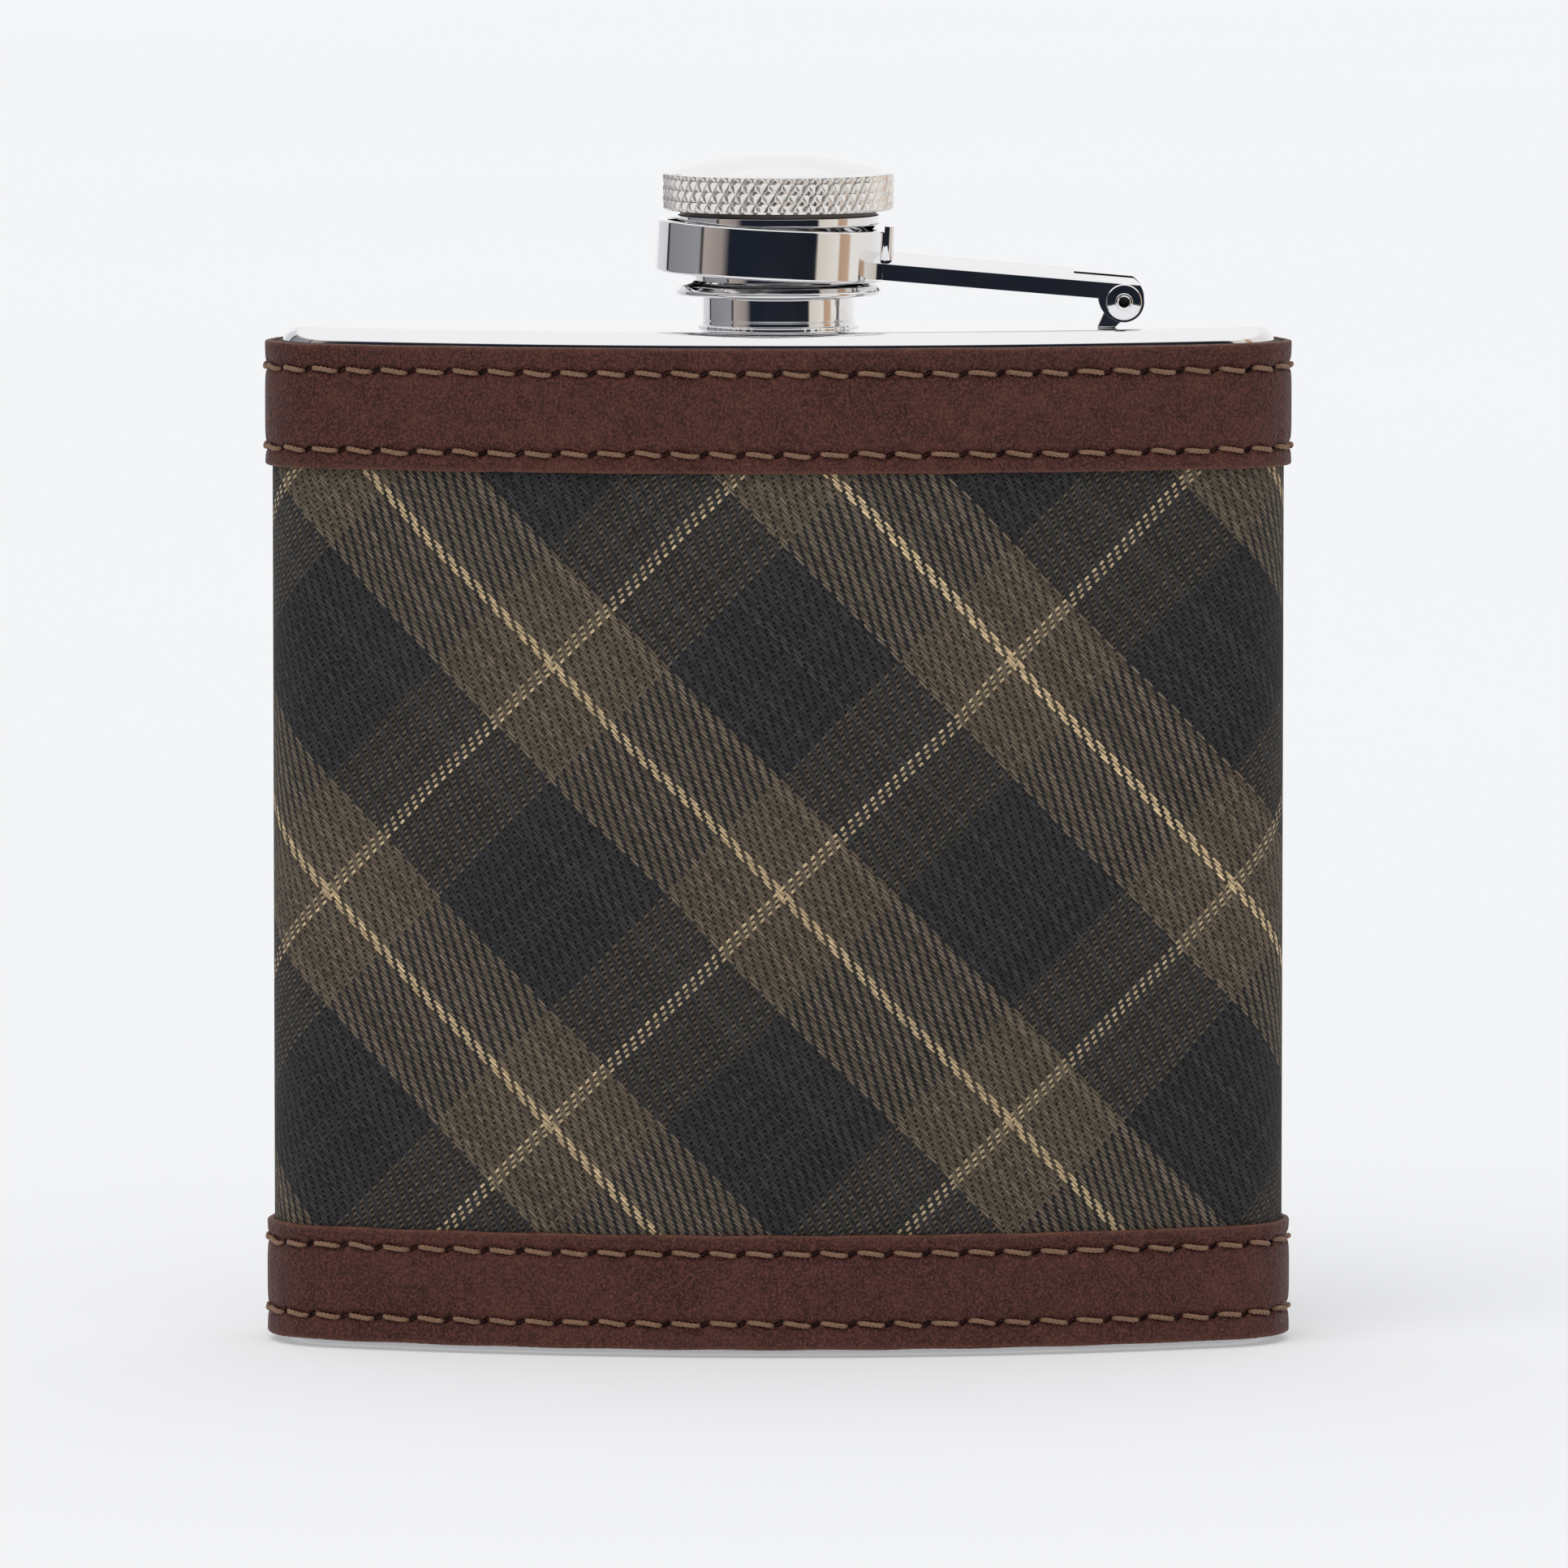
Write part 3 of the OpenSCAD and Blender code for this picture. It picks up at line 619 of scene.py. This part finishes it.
shell = soften([
    (0, CEILING_Z), (CAVITY_R, CEILING_Z), (CAVITY_R, LIP_Z), (LIP_R - 0.1, LIP_Z), (LIP_R, LIP_Z + 0.35),
    (LIP_R - 0.55, LIP_Z + 0.88), (8, LIP_Z + 1.12), (WAIST_R, LIP_Z + 1.3), (WAIST_R, 8.3),
    (STEP_R, GRIP_Z - 1.25), (STEP_R, GRIP_Z - 0.5), (STEP_R - 0.3, GRIP_Z - 0.42),
    (STEP_R - 0.3, GRIP_Z - 0.1), (STEP_R, GRIP_Z - 0.04), (STEP_R, GRIP_Z), (SPIGOT_R, GRIP_Z),
    (SPIGOT_R, GRIP_Z + SPIGOT_H), (0, GRIP_Z + SPIGOT_H)],
    [0, 0.1, 0.25, 0.2, 0.3, 0.3, 0.2, 0.1, 0.4, 0.25, 0.06, 0.04, 0.04, 0.04, 0.04, 0, 0, 0])
cap_shell = place(shift(revolve("cap_shell", shell, polished, 200), CAP_PLACE),
                  "cap", "polished_steel", "cap_sleeve")
# Painted shade: the faces of the groove under the grip take the dark steel.
cap_shell.data.materials.append(shade_steel)
for face in cap_shell.data.polygons:
    face.material_index = int((SHOULDER_Z + GRIP_Z - 0.46) * MM < face.center.z < (SHOULDER_Z + GRIP_Z) * MM)

KNURLS, KNURL_RISE, KNURL_DEPTH, CHAMFER = 53, 1.95, 0.3, 0.22
knurl_low, knurl_high = GRIP_Z + CHAMFER, GRIP_Z + GRIP_H - CHAMFER


def knurl(turn, z, r):
    """Crossed V-grooves cut into the grip, which leave rows of diamonds."""
    round_it = KNURLS * turn / (2 * math.pi)
    left = np.mod(round_it + z / KNURL_RISE, 1)
    right = np.mod(round_it - z / KNURL_RISE, 1)
    deep = 1 - np.clip((1 - np.abs(2 * right - 1)) / 0.72, 0, 1)
    shallow = 1 - np.clip((1 - np.abs(2 * left - 1)) / 0.6, 0, 1)
    cut = KNURL_DEPTH * np.maximum(deep, 0.85 * shallow)
    return -cut * (np.abs(r - GRIP_R) < 0.005) * (z > knurl_low - 0.01) * (z < knurl_high + 0.01)


dome_r = GRIP_R - 0.3
ball_r = (dome_r**2 + DOME_H**2) / (2 * DOME_H)
top_z = head_high[2] - SHOULDER_Z
dome = [(r, top_z - ball_r + math.sqrt(ball_r**2 - r**2)) for r in np.linspace(dome_r, 0, 24)]
head = np.array(
    [(SPIGOT_R, GRIP_Z + 0.02), (GRIP_R - KNURL_DEPTH - 0.2, GRIP_Z), (GRIP_R - KNURL_DEPTH, GRIP_Z + 0.03)]
    + [(GRIP_R, z) for z in np.linspace(knurl_low, knurl_high, 49)]
    + [(GRIP_R - 0.04, knurl_high + 0.06), (GRIP_R - 0.12, knurl_high + 0.14),
       (GRIP_R - 0.2, GRIP_Z + GRIP_H)]
    + dome + [(0, GRIP_Z + SPIGOT_H), (SPIGOT_R, GRIP_Z + SPIGOT_H)])
grip = place(shift(revolve("cap_grip", head, knurled, KNURLS * 14, knurl, sharp=24), CAP_PLACE), "cap",
             "knurled_steel", "cap_head")
grip.data.materials.append(polished)
for face in grip.data.polygons:
    face.material_index = int(face.center.z > (SHOULDER_Z + knurl_high + 0.1) * MM)

# ---- Stitch rows --------------------------------------------------------------------------

band_nodes = {"top": "leather_band_top", "bottom": "leather_band_bottom"}
STITCHES = 62
PITCH = 2 * HALF_RIM / STITCHES
SLIT_SLOPE, SLIT_HALF, SLIT_W = math.radians(28), 0.42, 0.2
THREAD_START = (0.4, 0.13)
STRAND_R, PLY_R, TWIST_PITCH = 0.12, 0.13, 1.3
rows_z = {band: {} for band in band_nodes}
for band in band_nodes:
    for row in ("upper", "lower"):
        low, high = box_mm(f"stitches_{band}_{row}")
        rows_z[band][row] = (low[2] + high[2]) / 2
jitter = {key: rng.normal(0, 1, (STITCHES + 1, 4))
          for key in ("top_upper", "top_lower", "bottom_upper", "bottom_lower")}


def hole_place(key, k):
    """Along and up offsets of a stitch hole from its even place."""
    return 0.05 * jitter[key][k, 0], 0.04 * jitter[key][k, 1]


def stitches(key, z_row):
    """One row of saddle stitches: three twisted plies that dive into a hole at each end."""
    ply_sides, stations = 7, 15
    turn = np.arange(ply_sides) * 2 * math.pi / ply_sides
    t = np.linspace(0, 1, stations)
    points, faces = [], []
    for k in range(STITCHES):
        first, last = hole_place(key, k), hole_place(key, k + 1)
        s0 = -HALF_RIM + k * PITCH + first[0] + THREAD_START[0]
        s1 = -HALF_RIM + (k + 1) * PITCH + last[0] - THREAD_START[0]
        z0, z1 = z_row + first[1] + THREAD_START[1], z_row + last[1] - THREAD_START[1]
        along = s0 + (s1 - s0) * t
        sag = 0.05 * jitter[key][k, 2]
        up = z0 + (z1 - z0) * (0.5 - 0.5 * np.cos(np.pi * t)) + sag * np.sin(np.pi * t)
        dive = 1 - np.clip(np.minimum(t, 1 - t) / 0.2, 0, 1)
        out = -0.1 - 0.6 * dive**1.8
        length = abs(s1 - s0)
        spin = jitter[key][k, 3] + 2 * math.pi * t * length / TWIST_PITCH
        swell = 1 - 0.18 * dive
        for ply in range(3):
            phase = spin + ply * 2 * math.pi / 3
            centre_up = up + STRAND_R * swell * np.cos(phase)
            centre_out = out + STRAND_R * swell * np.sin(phase)
            ring_up = centre_up[:, None] + PLY_R * swell[:, None] * np.cos(turn)
            ring_out = centre_out[:, None] + PLY_R * swell[:, None] * np.sin(turn)
            at, normal = rim(np.repeat(along[:, None], ply_sides, 1))
            at = at + normal * ring_out[..., None]
            base = sum(len(p) for p in points)
            points.append(np.concatenate([at, ring_up[..., None]], -1).reshape(-1, 3))
            quads = grid_quads(stations, ply_sides, False, True) + base
            faces += quads.tolist()
    piece = add_mesh(f"thread_{key}", np.concatenate(points), faces, sewing, sharp=80)
    return place(piece, "flask", "sewing_thread", f"stitches_{key}")


for band in band_nodes:
    for row in ("upper", "lower"):
        stitches(f"{band}_{row}", rows_z[band][row])

# ---- Leather ------------------------------------------------------------------------------


def waves(s, scale, seed, count=5):
    """A gentle random wave that closes on itself round the rim, about -1 to 1."""
    draw = np.random.default_rng(seed)
    total = np.zeros_like(s)
    for k in range(count):
        turns = max(1, round(2 * HALF_RIM / scale * draw.uniform(0.6, 1.6)))
        total += draw.uniform(0.5, 1) * np.sin(np.pi * turns * s / HALF_RIM + draw.uniform(0, 2 * math.pi))
    return total / (0.6 * count)


def leather_band(band, seed):
    node = band_nodes[band]
    low, high = box_mm(node)
    z0, z1 = low[2], high[2]
    gap = 0.15
    s = np.linspace(-HALF_RIM + gap, HALF_RIM - gap, 1500)
    round_r, thin = 0.2, LEATHER_T
    heights = {z0 + round_r, z1 - round_r}
    heights |= set(np.arange(z0 + round_r + 0.3, z1 - round_r - 0.15, 0.32).tolist())
    for z_row in rows_z[band].values():
        heights = {z for z in heights if abs(z - z_row) > 0.78}
        heights |= set(np.arange(z_row - 0.75, z_row + 0.76, 0.1).tolist())
    heights = sorted(heights)
    curl = np.linspace(0, math.pi / 2, 5)[:-1]
    profile = [(thin, z0 + 0.08), (thin - 0.12, z0), (round_r + 0.08, z0)]
    profile += [(round_r * (1 - math.sin(a)), z0 + round_r * (1 - math.cos(a))) for a in curl[1:]]
    profile += [(0.0, z) for z in heights]
    profile += [(round_r * (1 - math.cos(a)), z1 - round_r * (1 - math.sin(a))) for a in curl[1:]]
    profile += [(round_r + 0.08, z1), (thin - 0.12, z1), (thin, z1 - 0.08)]
    inset = np.array([p[0] for p in profile])[:, None] + np.zeros(len(s))
    z = np.array([p[1] for p in profile])[:, None] + np.zeros(len(s))
    edge = smooth_step(np.maximum(z - z1, z0 - z), -0.32, -0.02) * (inset < thin - 0.05)
    outer = inset < round_r + 0.05
    # hole marks the stitch slits, which the leather material paints near black as shade.
    hole = np.zeros_like(z)
    dent = np.zeros_like(z)
    for row, z_row in rows_z[band].items():
        key = f"{band}_{row}"
        k = np.clip(np.rint((s + HALF_RIM) / PITCH).astype(int), 0, STITCHES)
        ds = s - (-HALF_RIM + k * PITCH + 0.05 * jitter[key][k, 0])
        dz = z - z_row - 0.04 * jitter[key][k, 1]
        p = ds * math.cos(SLIT_SLOPE) + dz * math.sin(SLIT_SLOPE)
        q = -ds * math.sin(SLIT_SLOPE) + dz * math.cos(SLIT_SLOPE)
        slit = np.exp(-((q / SLIT_W) ** 2)) * (1 - smooth_step(np.abs(p), SLIT_HALF - 0.12, SLIT_HALF + 0.12))
        span = (s + HALF_RIM) / PITCH % 1
        line = z_row + THREAD_START[1] * np.cos(math.pi * span)
        channel = np.exp(-(((z - line) / 0.4) ** 2))
        hole = np.maximum(hole, np.clip(slit * 2.6 - 0.4, 0, 1))
        pull = np.exp(-(((z - line) / 1.1) ** 2))
        dent += 0.4 * slit + 0.27 * channel + 0.08 * pull
    lumps = 0.035 * (1 + waves(s, 9, seed)) + 0.02 * (1 + waves(s, 2.6, seed + 1))
    inset = inset + np.where(outer, dent, 0) + lumps * (inset < thin - 0.05)
    frayed = 0.05 * waves(s, 12, seed + 2) + 0.02 * waves(s, 1.3, seed + 3, 9)
    near = smooth_step(np.maximum(z - z1, z0 - z), -0.9, 0)
    z = z - np.sign(z - (z0 + z1) / 2) * near * (0.06 + frayed)
    at, _ = rim(s[None, :] + 0 * inset, inset)
    points = np.concatenate([at, z[..., None]], -1).reshape(-1, 3)
    rows = len(profile)
    faces = grid_quads(rows, len(s), True, False).tolist()
    faces.append([k * len(s) for k in range(rows)])
    faces.append([k * len(s) + len(s) - 1 for k in range(rows)][::-1])
    piece = add_mesh(f"leather_{band}", points, faces, leather, sharp=60,
                     marks=(("edge", edge.ravel()), ("hole", (hole * outer).ravel())))
    return place(piece, "flask", "brown_leather", node)


leather_bands = [leather_band("top", 21), leather_band("bottom", 43)]

# ---- Cloth --------------------------------------------------------------------------------

cloth_low, cloth_high = box_mm("fabric_wrap")


def cloth():
    """The checked wrap, cut on the bias and butted at the centre of the back."""
    s = np.linspace(-HALF_RIM + 0.04, HALF_RIM - 0.04, 721)
    heights = np.linspace(cloth_low[2], cloth_high[2], 47)
    seam = smooth_step(np.abs(s), HALF_RIM - 0.7, HALF_RIM)
    outer = LEATHER_T + 0.02 + 0.03 * (1 + waves(s, 24, 5)) + 0.34 * seam**3
    inner = np.full(len(s), LEATHER_T + CLOTH_T - 0.01)
    rows = [(inner, cloth_low[2])]
    rows += [(outer + (0.06 if k in (0, len(heights) - 1) else 0), z) for k, z in enumerate(heights)]
    rows += [(inner, cloth_high[2])]
    run = run_at(s, LEATHER_T)
    points, places = [], []
    for inset, z in rows:
        at, _ = rim(s, inset)
        points.append(np.column_stack([at, np.full(len(s), z)]))
        places.append(np.column_stack([run, np.full(len(s), z)]))
    faces = grid_quads(len(rows), len(s), True, False).tolist()
    faces.append([k * len(s) for k in range(len(rows))])
    faces.append([k * len(s) + len(s) - 1 for k in range(len(rows))][::-1])
    return add_mesh("checked_wrap", np.concatenate(points), faces, checked, sharp=60,
                    uv=np.concatenate(places))


wrap = place(cloth(), "flask", "checked_cloth", "fabric_wrap")

# ---- Studio -------------------------------------------------------------------------------

PALE = srgb(243, 244, 246)


TABLE = (-320, 320, -1000, 450)
ROOM = (-12000, 12000, -3000, 12000)


def corners(box):
    left, right, front, back = box
    return [(left, front, 0), (right, front, 0), (right, back, 0), (left, back, 0)]


def floor_piece(name, points, faces, glossy):
    piece = add_mesh(name, points, faces, paper)
    piece.visible_glossy = glossy


paper = Shader("paper")
mottled = paper.noise(paper.node("TexCoord", output=3), 2.0)
paper_tone = paper.mix(mottled, (0.605, 0.61, 0.62, 1.0), (0.615, 0.62, 0.63, 1.0))
paper = paper.finish(Base_Color=paper_tone, Roughness=1.0, Specular_IOR_Level=0.0,
                     Emission_Color=(1.0, 1.0, 1.01, 1.0), Emission_Strength=0.29)
floor_piece("table", corners(TABLE), [[0, 1, 2, 3]], True)
floor_piece("floor_beyond", corners(TABLE) + corners(ROOM), grid_quads(2, 4, False, True), False)

# What polished steel sees round about, by compass direction: 0 is the way the front faces and
# positive is towards the hinge
STUDIO = (
    (-180, (0.95, 0.95, 0.96)), (-153, (0.95, 0.95, 0.96)),
    (-150, (0.72, 0.73, 0.75)), (-126, (0.66, 0.67, 0.69)),
    (-125, (0.01, 0.01, 0.012)), (-122, (0.01, 0.01, 0.012)),
    (-121, (0.24, 0.24, 0.26)), (-75, (0.3, 0.3, 0.32)),
    (-74, (0.01, 0.01, 0.012)), (-72, (0.01, 0.01, 0.012)),
    (-71, (0.42, 0.36, 0.32)), (-50, (0.3, 0.26, 0.24)),
    (-42, (0.012, 0.016, 0.026)), (46, (0.012, 0.014, 0.02)),
    (47.5, (0.68, 0.63, 0.55)), (71, (0.8, 0.76, 0.7)),
    (73, (0.5, 0.33, 0.22)), (84, (0.55, 0.38, 0.27)), (87, (0.85, 0.82, 0.77)), (118, (0.82, 0.8, 0.78)),
    (150, (0.93, 0.93, 0.94)), (180, (0.95, 0.95, 0.96)),
)


def studio_world():
    world = bpy.data.worlds.new("studio")
    bpy.context.scene.world = world
    world.use_nodes = True
    shader = Shader.__new__(Shader)
    shader.tree = world.node_tree
    shader.tree.nodes.clear()
    sky = shader.node("TexCoord", output=0)
    x, y, z = (shader.node("SeparateXYZ", {0: sky}, k) for k in range(3))
    turn = shader.math("ARCTAN2", x, shader.math("MULTIPLY", y, -1.0))
    share = shader.math("MULTIPLY_ADD", turn, 0.5 / math.pi, 0.5)
    around = shader.ramp(share, [((a + 180) / 360, (*tone, 1.0)) for a, tone in STUDIO])
    overhead = shader.node("MapRange", {0: z, 1: math.sin(math.radians(28)), 2: math.sin(math.radians(34))})
    seen = shader.mix(overhead, around, (1.0, 1.0, 1.0, 1.0))
    lifted = shader.node("MapRange", {0: z, 1: 0.0, 2: 0.9})
    soft = shader.mix(lifted, (0.62, 0.625, 0.635, 1.0), (0.85, 0.855, 0.86, 1.0))
    tone = shader.mix(shader.node("LightPath", output=3), soft, seen)
    tone = shader.mix(shader.node("LightPath", output=0), tone, PALE)
    glow = shader.node("Background", {0: tone, 1: 1.0})
    shader.tree.links.new(glow, shader.tree.nodes.new("ShaderNodeOutputWorld").inputs["Surface"])


studio_world()


def soft_sun(name, compass, height, strength, spread):
    """A broad far light from a compass direction and a height, both in degrees."""
    lamp = bpy.data.lights.new(name, "SUN")
    lamp.energy, lamp.angle = strength, math.radians(spread)
    light = bpy.data.objects.new(name, lamp)
    bpy.context.scene.collection.objects.link(light)
    light.rotation_euler = (math.radians(90 - height), 0.0, math.radians(compass))
    light.visible_glossy = False


soft_sun("key", -30.0, 55.0, 0.85, 50.0)

# ---- Camera -------------------------------------------------------------------------------

lens = bpy.data.cameras.new("camera")
lens.sensor_width, lens.lens = 36.0, 330.77
lens.shift_x, lens.shift_y = 0.0036, -0.0184
lens.clip_start, lens.clip_end = 0.05, 50.0
camera = bpy.data.objects.new("camera", lens)
bpy.context.scene.collection.objects.link(camera)
camera.location = (0.0, -1.327, 0.1707)
camera.rotation_euler = (math.radians(85), 0.0, 0.0)
bpy.context.scene.camera = camera
bpy.context.scene.view_settings.view_transform = "Standard"
